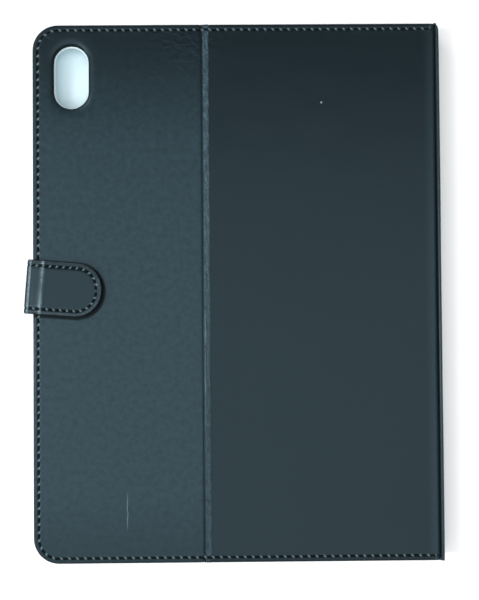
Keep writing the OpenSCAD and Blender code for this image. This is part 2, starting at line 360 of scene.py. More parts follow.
def pucker(x, y, end_x):
    """How far the leather stands up between two stitches, and how near the point is to the seam."""
    whole, count = seam_count(end_x)
    s, inwards = seam_measure(x, y, end_x)
    off = inwards - seam_in
    near = hump(off, 0.8 * mm)
    bulge = hump(off - 0.25 * mm, 0.9 * mm)
    between = 0.5 + 0.5 * math.cos(2 * math.pi * (s / whole * count + 0.16 * off / mm))
    return bulge * between ** 3, near


def seam_phase(x, y, end_x):
    """The point's place along the seam in stitches, and its distance inwards from it in mm."""
    whole, count = seam_count(end_x)
    s, inwards = seam_measure(x, y, end_x)
    return s / whole * count, (inwards - seam_in) / mm if x < end_x else far_from_seam


def unevenness(x, y, seed):
    """Slow waves in leather that is glued over board."""
    broad = noise.noise(Vector((x * 22, y * 22, seed)))
    fine = noise.noise(Vector((x * 90, y * 90, seed + 7)))
    return (0.10 * broad + 0.035 * fine) * mm


def leaf_leather(name, cross_cuts):
    """Leather of a whole leaf, its outside up at back_top, ready in edit mode to be shaped."""
    spare = 12 * mm
    leaf = start_outline(
        name, free_x, groove_x + spare, half_l, 0, back_top - edge_drop,
        corner_r, corner_steps, (16, 17), edge_steps, True,
    )
    for before, drop in groove_profile[:-1]:
        saw((groove_x - before, 0, 0), (1, 0, 0))
    saw((groove_x, 0, 0), (1, 0, 0), clear_outer=True)
    for x in cross_cuts + steps_between(free_x + 6 * mm, groove_x - 6 * mm, 5 * mm):
        saw((x, 0, 0), (1, 0, 0))
    for y in steps_between(-half_l + 4.4 * mm, half_l - 4.4 * mm, 2.6 * mm):
        saw((0, y, 0), (0, 1, 0))
    turn_down(groove_x, 0, groove_x - free_x, half_l, down_moves)
    bpy.ops.object.mode_set(mode="OBJECT")
    return leaf


def groove_drop(x):
    """How much lower the leather lies at x on its way into the groove beside the spine."""
    before = groove_x - x
    for (far, far_drop), (near, near_drop) in zip(groove_profile, groove_profile[1:]):
        if near <= before <= far:
            return near_drop + (far_drop - near_drop) * (before - near) / (far - near)
    return 0.0


def leaf_marks(leaf, marks):
    """Stores values for each point of the leather under names that its material reads."""
    for name, values in marks.items():
        leaf.data.attributes.new(name, "FLOAT", "POINT").data.foreach_set("value", values)


# The leather: fine pebbled grain, slow colour changes, rubbed paler where it bends, and painted
# highlights and shade
def plug(tree, node, inputs):
    """Sets a node's inputs, and links those that are given as sockets."""
    for name, value in inputs.items():
        if isinstance(value, bpy.types.NodeSocket):
            tree.links.new(value, node.inputs[name])
        else:
            node.inputs[name].default_value = value


def put(tree, kind, inputs=None, **settings):
    """Adds a node, and sets its options and its inputs."""
    node = tree.nodes.new("ShaderNode" + kind)
    for option, value in settings.items():
        setattr(node, option, value)
    plug(tree, node, inputs or {})
    return node


def new_finish(name):
    """A new material, its node tree, its shader, and the place on the piece in millimetres."""
    finish = bpy.data.materials.new(name)
    finish.use_nodes = True
    tree = finish.node_tree
    coordinates = put(tree, "TexCoord").outputs["Object"]
    place = put(tree, "Mapping", {"Vector": coordinates, "Scale": (1 / mm, 1 / mm, 1 / mm)})
    return finish, tree, tree.nodes["Principled BSDF"], place.outputs[0]


def maths(tree, a, b, operation="MULTIPLY", clamp=False):
    node = put(tree, "Math", {0: a, 1: b}, operation=operation, use_clamp=clamp)
    return node.outputs[0]


def blended(tree, factor, a, b):
    """The colour a where the factor is 0, b where it is 1."""
    return put(tree, "Mix", {"Factor": factor, 6: a, 7: b}, data_type="RGBA").outputs[2]


def graded(tree, value, low, high, at_low, at_high):
    """Turns values from low to high into values from at_low to at_high."""
    grades = {"From Min": low, "From Max": high, "To Min": at_low, "To Max": at_high}
    return put(tree, "MapRange", {"Value": value, **grades}).outputs[0]


def speckle(tree, place, scale, detail, roughness=0.5, distortion=0.0):
    """Cloudy noise, its scale in lumps to a millimetre."""
    kind = {"Scale": scale, "Detail": detail, "Roughness": roughness, "Distortion": distortion}
    return put(tree, "TexNoise", {"Vector": place, **kind}).outputs["Fac"]


def relief(tree, height, strength, depth):
    bump = put(tree, "Bump", {"Height": height, "Strength": strength, "Distance": depth})
    return bump.outputs[0]


def marked(tree, name):
    """What leaf_marks has stored under a name."""
    return put(tree, "Attribute", attribute_name=name).outputs["Fac"]


# Painted shade in the seam's dips, and a painted highlight on the ridges between stitches
dip_shade_colour = (0.0004, 0.0007, 0.0009, 1)
ridge_highlight_colour = (0.13, 0.19, 0.21, 1)


def seam_marks(tree):
    """Painted shade in the dips under the stitches, and the ridges that stand up between them, pale
    with a painted highlight.
    """
    stitch = marked(tree, "stitch")
    off = marked(tree, "off_seam")
    slanted = maths(tree, stitch, maths(tree, off, 0.14), "ADD")
    past_hole = maths(tree, slanted, 0, "FRACT")
    between = maths(tree, maths(tree, past_hole, 0.5, "SUBTRACT"), 0, "ABSOLUTE")
    on_ridge = graded(tree, between, 0.32, 0.42, 0.0, 1.0)
    in_dip = graded(tree, maths(tree, off, 0, "ABSOLUTE"), 0.45, 0.8, 1.0, 0.0)
    ridge_side = maths(tree, maths(tree, off, 0.12, "SUBTRACT"), 0, "ABSOLUTE")
    reach = graded(tree, ridge_side, 0.35, 0.75, 0.62, 0.0)
    dip_shade = maths(tree, in_dip, maths(tree, 1, on_ridge, "SUBTRACT"))
    return dip_shade, maths(tree, reach, on_ridge)


def synthetic_leather(name, dark, pale, rubbed_and_lit, roughness, gloss, scuffs_and_shadow=False):
    finish, tree, shader, place = new_finish(name)
    clouds = speckle(tree, place, 0.018, 4.0, 0.55)
    mottle = speckle(tree, place, 0.35, 5.0, 0.6)
    pores = speckle(tree, place, 3.2, 3.0, 0.65)
    streaks = speckle(tree, place, 0.9, 6.0, 0.7)
    folds = speckle(tree, place, 0.42, 3.0, 0.5, 0.4)
    pebbles = {"Vector": place, "Scale": 1.15, "Randomness": 0.95}
    grain = put(tree, "TexVoronoi", pebbles, feature="SMOOTH_F1").outputs["Distance"]
    rub_and_highlight = marked(tree, "rub_and_highlight")
    shade = marked(tree, "shade")
    dip_shade, ridge_and_highlight = seam_marks(tree)

    # Colour: painted light on the flap, paler where rubbed and where highlights are painted, painted
    # shade in hollows and under the stitches
    tone = maths(tree, maths(tree, clouds, 0.55), maths(tree, mottle, 0.45), "ADD")
    colour = blended(tree, tone, dark, pale)
    lit_colour = (pale[0] * 4.5, pale[1] * 4.5, pale[2] * 4.4, 1)
    colour = blended(tree, maths(tree, marked(tree, "flap_light"), mottle), colour, lit_colour)
    worn_and_lit = maths(tree, rub_and_highlight, graded(tree, streaks, 0.38, 0.66, 0.35, 1.0), clamp=True)
    colour = blended(tree, worn_and_lit, colour, rubbed_and_lit)
    hollow_shade = (dark[0] * 0.3, dark[1] * 0.3, dark[2] * 0.3, 1)
    colour = blended(tree, maths(tree, shade, 0.8, clamp=True), colour, hollow_shade)
    tab_shadow = 0.0
    if scuffs_and_shadow:
        colour, tab_shadow = scuffs_and_tab_shadow(tree, colour)
    colour = blended(tree, dip_shade, colour, dip_shade_colour)
    colour = blended(tree, ridge_and_highlight, colour, ridge_highlight_colour)

    # Gloss: duller where shade is painted and under the painted shadow round the tab, a little
    # shinier where it is rubbed
    polish = graded(tree, mottle, 0.0, 1.0, roughness - 0.03, roughness + 0.05)
    dull = maths(tree, maths(tree, shade, 0.4), maths(tree, rub_and_highlight, 0.08), "SUBTRACT")
    dull = maths(tree, dull, maths(tree, tab_shadow, 0.45), "ADD")

    # Relief: pebbles and pores, roughened rubbed parts, ridges of the seam, and wrinkles
    height = maths(tree, maths(tree, grain, 0.1), maths(tree, pores, 0.3), "ADD")
    height = maths(tree, height, maths(tree, streaks, maths(tree, rub_and_highlight, 1.4)), "ADD")
    height = maths(tree, height, maths(tree, ridge_and_highlight, 3.0), "ADD")
    creased = maths(tree, maths(tree, marked(tree, "wrinkle"), 3.6), 0.5, "ADD")
    height = maths(tree, height, maths(tree, folds, creased), "ADD")
    plug(tree, shader, {
        "Base Color": colour,
        "Roughness": maths(tree, polish, dull, "ADD"),
        "Normal": relief(tree, height, 0.7, 0.045 * mm),
        "Specular IOR Level": gloss,
        "Specular Tint": (0.52, 0.83, 1, 1),
        "Coat Weight": gloss * 0.15,
        "Coat Roughness": 0.2,
    })
    return finish


# Scuffs on the back: a pale scratch on the flap, with half its length in millimetres, and a
# bright speck on the panel
scratch_place = (free_x + 44.2 * mm, -103.0 * mm)
scratch_half = 9.5
scratch_colour = (0.16, 0.22, 0.24, 1)
speck_place = (free_x + 137.2 * mm, 89.7 * mm)
speck_colour = (0.45, 0.52, 0.5, 1)
# Near black: the painted shadow round the strap's tab, and the matt edge finish
edge_and_shadow_black = (0.0006, 0.0012, 0.0015, 1)


def measured_from(tree, x, y):
    """The place on the piece in millimetres from a point, as seen from above."""
    coordinates = put(tree, "TexCoord").outputs["Object"]
    shift = {"Location": (-x / mm, -y / mm, 0), "Scale": (1 / mm, 1 / mm, 0)}
    return put(tree, "Mapping", {"Vector": coordinates, **shift}).outputs[0]


def scuffs_and_tab_shadow(tree, colour):
    """The colour with the scratch, the speck and the painted shadow round the tab, and that shadow's
    mask.
    """
    line = measured_from(tree, *scratch_place)
    axes = put(tree, "SeparateXYZ", {"Vector": line}).outputs
    wander = maths(tree, speckle(tree, line, 0.3, 2.0), 1.2)
    across = maths(tree, axes["X"], wander, "SUBTRACT")
    across = maths(tree, maths(tree, across, 0.6, "ADD"), 0, "ABSOLUTE")
    along = maths(tree, axes["Y"], 0, "ABSOLUTE")
    thin = graded(tree, across, 0.08, 0.30, 1.0, 0.0)
    ends = graded(tree, along, scratch_half * 0.55, scratch_half, 1.0, 0.0)
    scratch = maths(tree, maths(tree, thin, ends), 0.4)
    colour = blended(tree, scratch, colour, scratch_colour)
    around = measured_from(tree, *speck_place)
    radius = put(tree, "VectorMath", {0: around}, operation="LENGTH").outputs["Value"]
    colour = blended(tree, graded(tree, radius, 0.35, 0.6, 0.45, 0.0), colour, speck_colour)
    tab_shadow = graded(tree, marked(tree, "tab_gap"), 0.35, 1.15, 1.0, 0.0)
    return blended(tree, tab_shadow, colour, edge_and_shadow_black), tab_shadow


leather_dark = (0.0015, 0.004, 0.005, 1)
leather_pale = (0.0045, 0.0085, 0.011, 1)
# Pale for rubbed wear, and for painted highlights on shoulders and seam ridges
leather_rubbed_and_lit = (0.055, 0.090, 0.112, 1)
cover_leather_finish = synthetic_leather(
    "cover_leather", leather_dark, leather_pale, leather_rubbed_and_lit, 0.32, 0.26
)

# Matt near-black finish: edge paint on the strap's cut walls, painted shade on the leaves'
# turned-down sides and on the outside of the strap's bend
edge_and_shade_finish, tree, shader, place = new_finish("leather_edge_and_shade")
fuzz = speckle(tree, place, 1.2, 4.0)
plug(tree, shader, {
    "Base Color": blended(tree, fuzz, edge_and_shadow_black, (0.003, 0.005, 0.006, 1)),
    "Normal": relief(tree, fuzz, 0.3, 0.05 * mm),
    "Roughness": 0.75,
    "Specular IOR Level": 0.1,
})


def darken_edges(piece, test):
    """Gives the matt dark finish to the faces whose centre and normal pass the test: edge paint on
    cut walls, painted shade on turned-down sides and bends.
    """
    piece.data.materials.append(edge_and_shade_finish)
    for face in piece.data.polygons:
        if test(face.center, face.normal):
            face.material_index = 1


cover_leather = leaf_leather("front_cover_leather", [])
rub_and_highlight, shade, stitch, off_seam = [], [], [], []
for v in cover_leather.data.vertices:
    x, y = v.co.x, v.co.y
    on_outside = v.co.z > back_top - 1.0 * mm
    _, inwards = seam_measure(x, y, seam_end_x)
    lift, near = 0, 1
    if on_outside:
        lift, near = pucker(x, y, seam_end_x)
        flatness = within_one((inwards - 3.4 * mm) / (6 * mm))
        v.co.z += (unevenness(x, y, 31) - 0.12 * mm) * flatness
        v.co.z += (pucker_height * lift if x < seam_end_x else 0) - groove_drop(x)
    # Rubbed paler at the edge, with a painted highlight on the ridges between stitches; painted
    # shade along the seam and on the sides and inside
    rub_and_highlight.append(max(hump(inwards - 0.9 * mm, 0.8 * mm) * 0.08, lift))
    shade.append(0.4 * near)
    phase, off = seam_phase(x, y, seam_end_x)
    stitch.append(phase)
    off_seam.append(off if on_outside else far_from_seam)
leaf_marks(cover_leather, {"rub_and_highlight": rub_and_highlight, "shade": shade, "stitch": stitch, "off_seam": off_seam})
bpy.ops.object.mode_set(mode="EDIT")
bpy.ops.mesh.select_all(action="SELECT")
bpy.ops.transform.resize(value=(1, 1, -1), center_override=(0, 0, back_top / 2))
bpy.ops.mesh.flip_normals()
bpy.ops.object.mode_set(mode="OBJECT")
thicken(cover_leather, leather_t)
cover_leather.data.materials.append(cover_leather_finish)
darken_edges(cover_leather, lambda p, n: p.x < groove_x - 1 * mm and p.z > 0.5 * mm)
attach(cover_leather, "front_cover")
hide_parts("front_cover_skin")


# ------------------------------------------------------------------ stitching of the leaves
# Thick dark polyester thread in a straight lockstitch. Each stitch is a short spindle that
# dips into its two holes, lying a little slantwise in the groove that it has pulled in.

thread_radius = 0.3 * mm
stitch_share = 0.66
stitch_slant = math.radians(7)

thread_finish, tree, shader, place = new_finish("seam_thread")
yarn = {"Vector": place, "Scale": 1.6, "Distortion": 1.5}
twist = put(tree, "TexWave", yarn, bands_direction="DIAGONAL").outputs["Fac"]
plug(tree, shader, {
    "Base Color": blended(tree, twist, (0.0008, 0.0014, 0.002, 1), (0.006, 0.010, 0.013, 1)),
    "Normal": relief(tree, twist, 0.5, 0.08 * mm),
    "Roughness": 0.7,
    "Specular IOR Level": 0.08,
})


def sew(name, places, length):
    """One stitch, shaped once and copied to every place, all joined into one piece."""
    bpy.ops.object.select_all(action="DESELECT")
    bpy.ops.mesh.primitive_uv_sphere_add(segments=8, ring_count=6, radius=1)
    pattern = bpy.context.object
    bpy.ops.object.mode_set(mode="EDIT")
    bpy.ops.mesh.select_all(action="SELECT")
    bpy.ops.transform.resize(value=(thread_radius, thread_radius, length / 2))
    bpy.ops.transform.rotate(value=math.pi / 2, orient_axis="Y", center_override=(0, 0, 0))
    pick(lambda p: abs(p.x) > 0.3 * length)
    bpy.ops.transform.translate(value=(0, 0, -0.12 * mm))
    bpy.ops.object.mode_set(mode="OBJECT")
    copies = []
    for place in places:
        copy = bpy.data.objects.new(name, pattern.data.copy())
        copy.data.transform(place)
        bpy.context.scene.collection.objects.link(copy)
        copies.append(copy)
    bpy.data.objects.remove(pattern)
    bpy.ops.object.select_all(action="DESELECT")
    for copy in copies:
        copy.select_set(True)
    bpy.context.view_layer.objects.active = copies[0]
    bpy.ops.object.join()
    bpy.ops.object.shade_smooth()
    row = bpy.context.object
    row.name = row.data.name = name
    row.data.materials.append(thread_finish)
    return row


def leaf_stitch_places(end_x, z, facing):
    whole, count = seam_count(end_x)
    places = []
    for i in range(count):
        x, y, turn = seam_place((i + 0.5) * whole / count, end_x)
        spin = Matrix.Rotation(turn + stitch_slant, 4, "Z")
        places.append(Matrix.Translation((x, y, z)) @ spin @ Matrix.Diagonal((1, 1, facing, 1)))
    return places


stitch_sink = 0.22 * mm
stitch_length = stitch_pitch * stitch_share
cover_places = leaf_stitch_places(seam_end_x, stitch_sink, -1)
cover_stitches = sew("front_cover_stitches", cover_places, stitch_length)
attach(cover_stitches, "front_cover")
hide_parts("front_cover_stitching")


# ------------------------------------------------------------------ back: panel and stand flap
# One sheet of the same leather covers both boards of the back. Between them it is pressed
# into a fold: a narrow cockled band with a shadow line on the flap's side, a dip darkened
# with painted shade. The camera window is cut through the flap, and its leather edge is
# rolled into the hole.

window = next(o for o in frame["record"]["physics"]["openings"] if o["name"] == "camera_window")
window_x = (window["box_m"][0][0] + window["box_m"][1][0]) / 2
window_y = (window["box_m"][0][1] + window["box_m"][1][1]) / 2
window_r = 8.3 * mm
window_straight = 13.6 * mm
window_pad_x = 12.2 * mm
window_pad_y = 19.2 * mm

# The rolled edge of the window: (radius beyond the hole's, height below the back's top)
window_lip = [
    (3.0 * mm, 0.0),
    (2.4 * mm, 0.05 * mm),
    (1.7 * mm, 0.20 * mm),
    (1.0 * mm, 0.36 * mm),
    (0.45 * mm, 0.62 * mm),
    (0.15 * mm, 1.1 * mm),
    (0.0, 1.7 * mm),
    (0.0, 2.6 * mm),
]

# The fold's section across: (distance from its middle towards the spine, height)
fold_section = [
    (-4.0 * mm, 0.0),
    (-2.9 * mm, -0.03 * mm),
    (-2.2 * mm, -0.20 * mm),
    (-1.8 * mm, -0.42 * mm),
    (-1.4 * mm, -0.20 * mm),
    (-1.0 * mm, 0.10 * mm),
    (-0.6 * mm, 0.18 * mm),
    (-0.2 * mm, 0.10 * mm),
    (0.2 * mm, 0.16 * mm),
    (0.6 * mm, 0.14 * mm),
    (1.0 * mm, 0.16 * mm),
    (1.4 * mm, 0.06 * mm),
    (1.9 * mm, -0.05 * mm),
    (2.6 * mm, 0.0),
]


def fold_height(offset):
    for (low, low_z), (high, high_z) in zip(fold_section, fold_section[1:]):
        if low <= offset <= high:
            return low_z + (high_z - low_z) * (offset - low) / (high - low)
    return 0.0


window_cuts = [window_x - window_pad_x, window_x + window_pad_x]
fold_cuts = [fold_x + offset for offset, _ in fold_section]
back_leather = leaf_leather("back_leather", window_cuts + fold_cuts)
bpy.ops.object.mode_set(mode="EDIT")
for side in (-1, 1):
    saw((0, window_y + side * window_pad_y, 0), (0, 1, 0))

# Finer steps along the fold, for its cockles
outside_z = back_top - 1 * mm
pick(
    lambda p: -2.3 * mm < p.x - fold_x < 2.0 * mm
    and abs(p.y) < half_l - 4 * mm
    and p.z > outside_z,
    "FACE",
)
bpy.ops.mesh.subdivide(number_cuts=1)


# The window: its patch of leather is cleared, and bridged to the rolled edge
def by_window(x, y, spare=0):
    """True inside the patch, or inside one that is larger all round by spare."""
    aside, away = abs(x - window_x), abs(y - window_y)
    return aside < window_pad_x + spare and away < window_pad_y + spare


pick(lambda p: by_window(p.x, p.y) and p.z > outside_z, "FACE")
bpy.ops.mesh.delete(type="FACE")


def pill_ring(radius, z):
    """Adds a ring in the shape of the window and leaves it selected."""
    bpy.ops.mesh.select_mode(type="VERT")
    bpy.ops.mesh.select_all(action="DESELECT")
    bpy.ops.mesh.primitive_circle_add(
        vertices=56, radius=radius, location=(window_x, window_y, z)
    )
    mesh = bmesh.from_edit_mesh(bpy.context.object.data)
    for v in mesh.verts:
        if v.select:
            side = math.copysign(1, v.co.x - window_x)
            turn = (v.co.y - window_y) / radius
            rise = max(0.0, (abs(turn) - 0.35) / 0.65)
            v.co.x = window_x + side * radius * math.sqrt(max(0.0, 1 - rise * rise))
            along_side = window_straight / 2 * max(-1.0, min(1.0, turn / 0.35))
            v.co.y = window_y + along_side + math.copysign(radius * rise, turn)
    bmesh.update_edit_mesh(bpy.context.object.data)


def near_window(e, spare):
    middle = (e.verts[0].co + e.verts[1].co) / 2
    return by_window(middle.x, middle.y, spare)


for i, (beyond, drop) in enumerate(window_lip):
    pill_ring(window_r + beyond, back_top - drop)
    reach = 0.1 * mm if i == 0 else -0.8 * mm
    pick_edges(
        lambda e: near_window(e, reach) and (e.is_boundary or e.is_wire)
        and max(e.verts[0].co.z, e.verts[1].co.z) > back_top - drop - 0.7 * mm
    )
    bpy.ops.mesh.bridge_edge_loops()
bpy.ops.mesh.select_mode(type="FACE")
bpy.ops.object.mode_set(mode="OBJECT")

def patch(across, along, wide, long):
    """1 in the middle of a soft-edged patch, falling to 0 round it."""
    return math.exp(-((across / wide) ** 2) - (along / long) ** 2)


rub_and_highlight, shade, flap_light, wrinkle, stitch, off_seam = [], [], [], [], [], []
for v in back_leather.data.vertices:
    x, y = v.co.x, v.co.y
    offset = x - fold_x
    on_outside = v.co.z > back_top - 1.0 * mm
    _, inwards = seam_measure(x, y, seam_end_x)
    band = within_one(min((offset + 1.5 * mm) / (0.4 * mm), (1.7 * mm - offset) / (0.5 * mm)))
    near = 0
    if on_outside:
        lift, near = pucker(x, y, seam_end_x)
        if x > seam_end_x:
            lift = 0
        if not by_window(x, y, 1 * mm):
            v.co.z += unevenness(x, y, 5) * within_one((inwards - 3.4 * mm) / (6 * mm))
        end = 1 + 1.2 * max(0.0, 1 - inwards / (4 * mm))
        cockle = 0.16 * mm * band * noise.noise(Vector((x * 1500 + y * 300, y * 420, 3)))
        v.co.z += pucker_height * lift - groove_drop(x) + fold_height(offset) * end + cockle
        v.co.x += 0.12 * mm * band * noise.noise(Vector((0, y * 130, 9)))

    # Rubbed paler: the outer edge and the fold's band; a painted highlight on the shoulder before
    # the groove
    edge_rub = hump(inwards - 0.9 * mm, 0.8 * mm) * 0.08
    fold_rub = band * (0.45 + 0.5 * within_one((y + 40 * mm) / (80 * mm))) if on_outside else 0
    fold_rub *= 0.9 + 1.1 * noise.noise(Vector((x * 1300 + y * 420, y * 330, 21)))
    rub_and_highlight.append(max(edge_rub, fold_rub, hump(groove_x - 1.9 * mm - x, 1.4 * mm) * 0.3))

    # Painted shade: along the seam, the shadow line beside the fold, the groove, the window's lip,
    # the border and the turned-down rim
    seam_shade = 0.3 * near if on_outside else 1
    fold_shadow_line = hump(offset + 1.9 * mm, 0.8 * mm) * 0.55
    groove_shade = max(0.0, 1 - (groove_x - x) / (0.8 * mm))
    past_straight = max(0.0, abs(y - window_y) - window_straight / 2)
    from_hole = math.hypot(x - window_x, past_straight) - window_r
    lip_shade = within_one(1.25 - from_hole / (0.8 * mm))
    border_shade = 0.35 if inwards < seam_in - 0.4 * mm else 0
    shade.append(max(seam_shade, fold_shadow_line, groove_shade, lip_shade, border_shade))

    # Painted light: the flap lighter than the panel, less towards its two ends
    into_flap = within_one((-1.2 * mm - offset) / (0.8 * mm))
    from_top = max(0.0, (half_l - 8 * mm - y) / (45 * mm))
    from_bottom = 0.45 + max(0.0, (y + half_l - 5 * mm) / (50 * mm))
    flap_light.append(into_flap * min(1.0, from_top, from_bottom))

    # Wrinkled: near the fold's upper end, and a little low on the flap
    near_top = patch(x - fold_x + 9 * mm, half_l - 9 * mm - y, 14 * mm, 14 * mm)
    low_left = patch(x - free_x - 30 * mm, half_l - 30 * mm + y, 30 * mm, 40 * mm)
    rise = noise.noise(Vector((x * 35, y * 35, 12)))
    wrinkle.append(max(0.0, 2.6 * near_top + 0.6 * low_left + 0.3 * rise))

    phase, off = seam_phase(x, y, seam_end_x)
    stitch.append(phase)
    off_seam.append(off if on_outside else far_from_seam)
leaf_marks(back_leather, {"rub_and_highlight": rub_and_highlight, "shade": shade, "flap_light": flap_light, "wrinkle": wrinkle})
leaf_marks(back_leather, {"stitch": stitch, "off_seam": off_seam})
thicken(back_leather, leather_t)
back_leather_finish = synthetic_leather(
    "back_leather", leather_dark, leather_pale, leather_rubbed_and_lit, 0.31, 0.26, scuffs_and_shadow=True
)
back_leather.data.materials.append(back_leather_finish)
darken_edges(
    back_leather,
    lambda p, n: p.z < back_top - 0.55 * mm and p.x < groove_x - 1.2 * mm
    and (half_l - abs(p.y) < 2 * mm or p.x < free_x + 8 * mm)
)
fold_start = (fold_x - 1.7 * mm, 0, back_top)
fold_end = (fold_x + 1.7 * mm, 0, back_top)
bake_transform(back_leather)
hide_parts("flap_skin", "back_panel_skin")

back_places = leaf_stitch_places(seam_end_x, back_top - stitch_sink, 1)
back_stitches = sew("back_stitches", back_places, stitch_length)
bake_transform(back_stitches)
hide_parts("flap_stitching", "back_panel_stitching")


# ------------------------------------------------------------------ spine
# The same leather goes on round the spine: down into a pressed groove beside each leaf, over
# a round shoulder and flat over the narrow spine board. It bends along the two grooves.

spine_mid = back_top / 2

# From the groove's bottom over the shoulder to the middle of the spine: (x, z) from its corner
shoulder = [
    (-2.25 * mm, -1.05 * mm),
    (-2.02 * mm, -0.80 * mm),
    (-1.75 * mm, -0.42 * mm),
    (-1.4 * mm, -0.20 * mm),
    (-1.0 * mm, -0.12 * mm),
    (-0.7 * mm, -0.30 * mm),
    (-0.35 * mm, -0.75 * mm),
    (-0.15 * mm, -1.5 * mm),
    (-0.02 * mm, -2.6 * mm),
    (0.0, -4.4 * mm),
    (0.0, -spine_mid),
]
spine_corner_r = 3.2 * mm


def spine_leather(name):
    """Half of the spine's leather, from the back's groove to the middle."""
    bpy.ops.object.select_all(action="DESELECT")
    bpy.ops.mesh.primitive_plane_add(size=1)
    piece = bpy.context.object
    piece.name = piece.data.name = name
    for v in piece.data.vertices:
        x, z = shoulder[0] if v.co.x < 0 else shoulder[1]
        v.co = (spine_x + x, half_l * (1 if v.co.y > 0 else -1), back_top + z)
    bpy.ops.object.mode_set(mode="EDIT")
    lead_x = spine_x + shoulder[1][0]
    pick_edges(lambda e: all(abs(v.co.x - lead_x) < same_place for v in e.verts))
    for (x0, z0), (x1, z1) in zip(shoulder[1:], shoulder[2:]):
        bpy.ops.mesh.extrude_edges_move(TRANSFORM_OT_translate={"value": (x1 - x0, 0, z1 - z0)})
    near_end = [half_l - 0.4 * mm, half_l - 0.9 * mm, half_l - 1.7 * mm]
    for y in steps_between(-half_l, half_l, 3 * mm) + near_end:
        saw((0, y, 0), (0, 1, 0))
    bpy.ops.mesh.select_all(action="SELECT")
    bpy.ops.mesh.normals_make_consistent(inside=False)
    mesh = bmesh.from_edit_mesh(piece.data)
    highest = max(mesh.faces, key=lambda f: abs(f.normal.z))
    if highest.normal.z < 0:
        bpy.ops.mesh.flip_normals()
    bpy.ops.object.mode_set(mode="OBJECT")
    rub_and_highlight, shade = [], []
    for v in piece.data.vertices:
        beyond = max(0.0, v.co.y - (half_l - spine_corner_r))
        cut_in = spine_corner_r - math.sqrt(max(0.0, spine_corner_r ** 2 - beyond ** 2))
        from_groove = v.co.x - groove_x
        v.co.x -= cut_in * min(1.0, from_groove / (2 * mm)) * 0.8
        wave = noise.noise(Vector((v.co.y * 25, v.co.z * 60, 2)))
        v.co.x += 0.16 * mm * wave * min(1.0, from_groove / (1 * mm))
        # Rubbed paler with a painted highlight over the shoulder; painted shade in the groove
        on_shoulder = hump(v.co.z - back_top + 0.2 * mm, 0.5 * mm)
        rub_and_highlight.append(on_shoulder * 0.4 if from_groove > 0.4 * mm else 0)
        shade.append(max(0.0, 1 - from_groove / (0.6 * mm)))
    leaf_marks(piece, {"rub_and_highlight": rub_and_highlight, "shade": shade})
    return piece


def round_end(piece):
    """Rounds the case's corner at the spine's +Y end and keeps both ends within the case."""
    r = 2 * mm
    for v in piece.data.vertices:
        past = max(0.0, min(r, v.co.x - spine_x + r))
        v.co.y = max(-half_l, min(half_l - r + math.sqrt(r * r - past * past), v.co.y))


def finish_spine(piece):
    shell = piece.modifiers.new("thickness", "SOLIDIFY")
    shell.thickness = 0.7 * mm
    shell.offset = -1
    apply_modifiers(piece)
    leaf_marks(piece, {"off_seam": [far_from_seam] * len(piece.data.vertices)})
    round_end(piece)
    bpy.ops.object.shade_smooth_by_angle(angle=math.radians(50))
    piece.data.materials.append(cover_leather_finish)
    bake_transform(piece)


upper_spine = spine_leather("spine_leather_upper")
lower_spine = spine_leather("spine_leather_lower")
bpy.ops.object.mode_set(mode="EDIT")
bpy.ops.mesh.select_all(action="SELECT")
bpy.ops.transform.resize(value=(1, 1, -1), center_override=(0, 0, spine_mid))
bpy.ops.mesh.flip_normals()
bpy.ops.object.mode_set(mode="OBJECT")
finish_spine(
    upper_spine
)
finish_spine(lower_spine)
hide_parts("spine_skin")


# ------------------------------------------------------------------ linings
# Pale blue-grey microfibre glued inside the covers. Narrow strips of it carry on over the
# spine's inside and over the fold, so that no board shows where the case bends.

lining_finish, tree, shader, place = new_finish("microfibre")
nap = speckle(tree, place, 2.6, 6.0, 0.7)
brushed = speckle(tree, place, 0.05, 3.0)
tone = maths(tree, maths(tree, nap, 0.4), maths(tree, brushed, 0.6), "ADD")
plug(tree, shader, {
    "Base Color": blended(tree, tone, (0.64, 0.81, 0.87, 1), (0.82, 0.96, 1.0, 1)),
    "Normal": relief(tree, nap, 0.5, 0.15 * mm),
    "Roughness": 0.92,
    "Sheen Weight": 0.4,
    "Specular IOR Level": 0.2,
})


def refinish(finish, *nodes):
    """Gives CAD nodes their finished material."""
    for node in nodes:
        slots = frame["nodes"][node].data.materials
        slots.clear()
        slots.append(finish)


refinish(lining_finish, "front_cover_lining", "back_panel_lining", "flap_lining")


def lining_strip(name, section, body_a, body_b, start, end, rests_on, *replaced):
    """A strip of lining as long as the case, drawn through the points of a section."""
    length = 2 * (half_l - 2.4 * mm)
    bpy.ops.object.select_all(action="DESELECT")
    bpy.ops.mesh.primitive_plane_add(size=1)
    strip = bpy.context.object
    strip.name = strip.data.name = name
    for v in strip.data.vertices:
        x, z = section[0] if v.co.x < 0 else section[1]
        v.co = (x, length / 2 * (1 if v.co.y > 0 else -1), z)
    bpy.ops.object.mode_set(mode="EDIT")
    lead_x, lead_z = section[1]
    pick_edges(
        lambda e: all(
            abs(v.co.x - lead_x) + abs(v.co.z - lead_z) < same_place for v in e.verts
        )
    )
    for (x0, z0), (x1, z1) in zip(section[1:], section[2:]):
        bpy.ops.mesh.extrude_edges_move(TRANSFORM_OT_translate={"value": (x1 - x0, 0, z1 - z0)})
    for y in steps_between(-length / 2, length / 2, 12 * mm):
        saw((0, y, 0), (0, 1, 0))
    bpy.ops.mesh.select_all(action="SELECT")
    bpy.ops.mesh.normals_make_consistent(inside=False)
    bpy.ops.object.mode_set(mode="OBJECT")
    shell = strip.modifiers.new("thickness", "SOLIDIFY")
    shell.thickness = 0.25 * mm
    shell.offset = 0
    apply_modifiers(strip)
    bpy.ops.object.shade_smooth_by_angle(angle=math.radians(50))
    strip.data.materials.append(lining_finish)
    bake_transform(strip)
    if replaced:
        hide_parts(*replaced)


